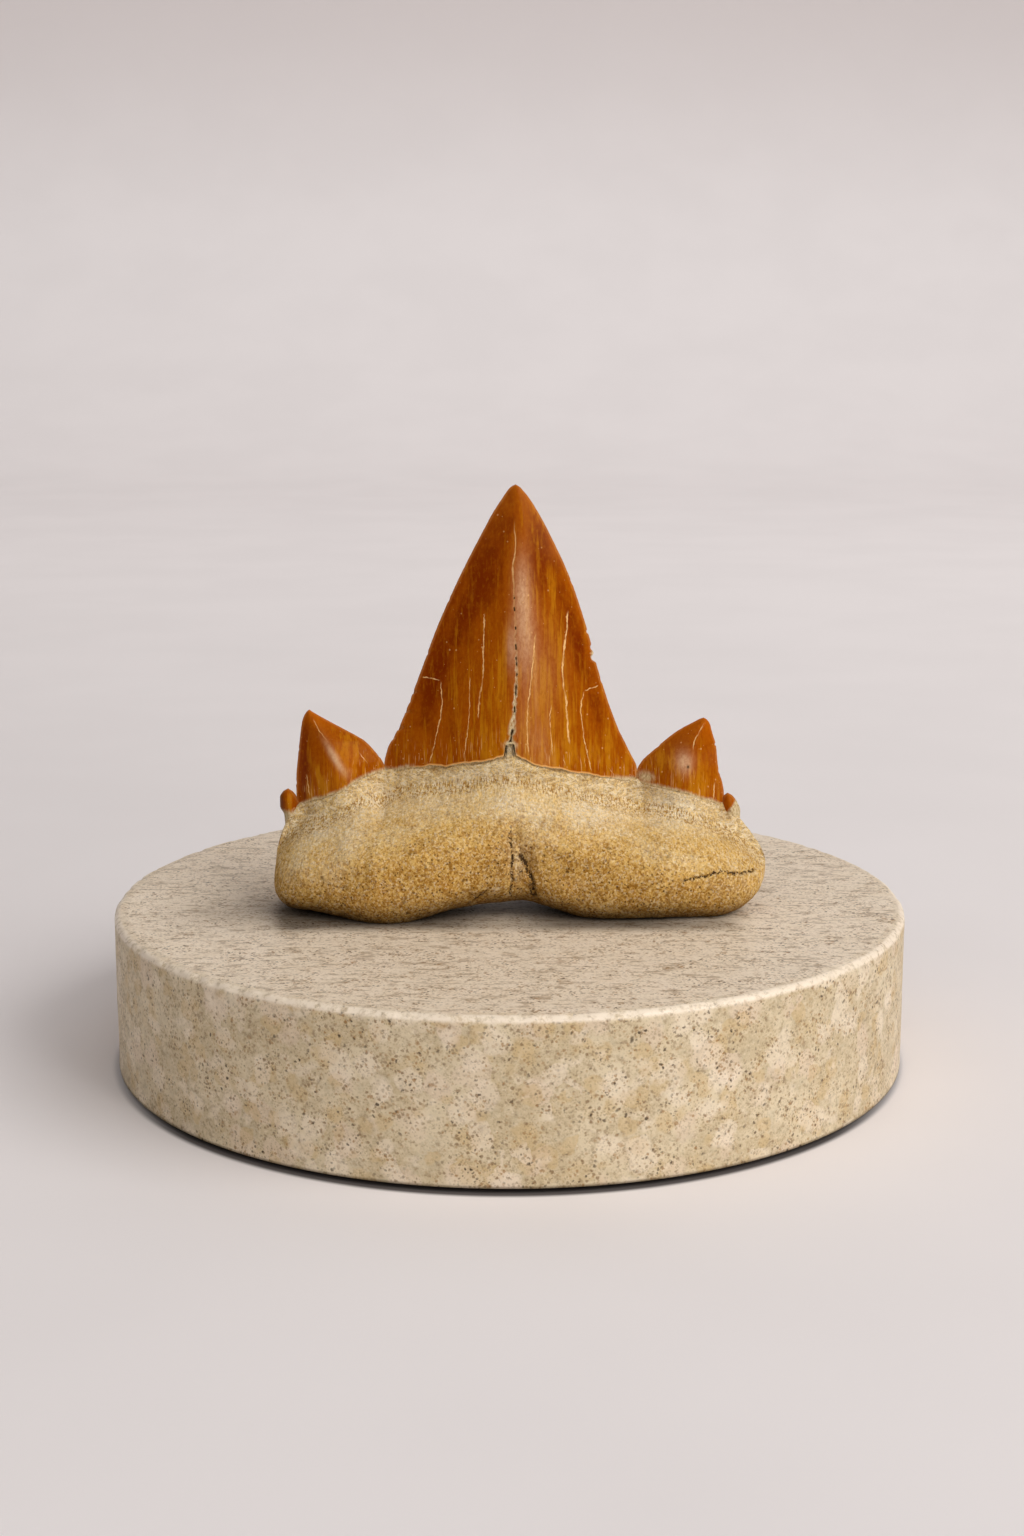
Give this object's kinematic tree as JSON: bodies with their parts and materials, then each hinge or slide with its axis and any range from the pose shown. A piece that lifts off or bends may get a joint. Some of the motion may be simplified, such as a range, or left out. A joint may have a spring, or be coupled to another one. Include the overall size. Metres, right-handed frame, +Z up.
{
  "type": "fossil shark tooth",
  "caption": "Amber-brown fossil shark tooth with side cusplets and a bulging tan root, standing upright on its root lobes on a round slab of pale speckled stone.",
  "frame": {"origin": "centre of the stone slab's underside", "axes": "+Z up, the tooth's inner face looks towards -Y, +X to the right seen from that side"},
  "size_m": [0.1, 0.1, 0.0724],
  "materials": {
    "tooth_root": "porous fossil root, tan and ochre, dull and grainy",
    "tooth_enamel": "polished amber-brown fossil enamel with fine pale cracks",
    "stone": "honed beige stone with fine brown specks and a softly polished rim"
  },
  "bodies": {
    "root": {"tooth": "tooth_root", "stone_disc": "stone"}
  },
  "joints": []
}
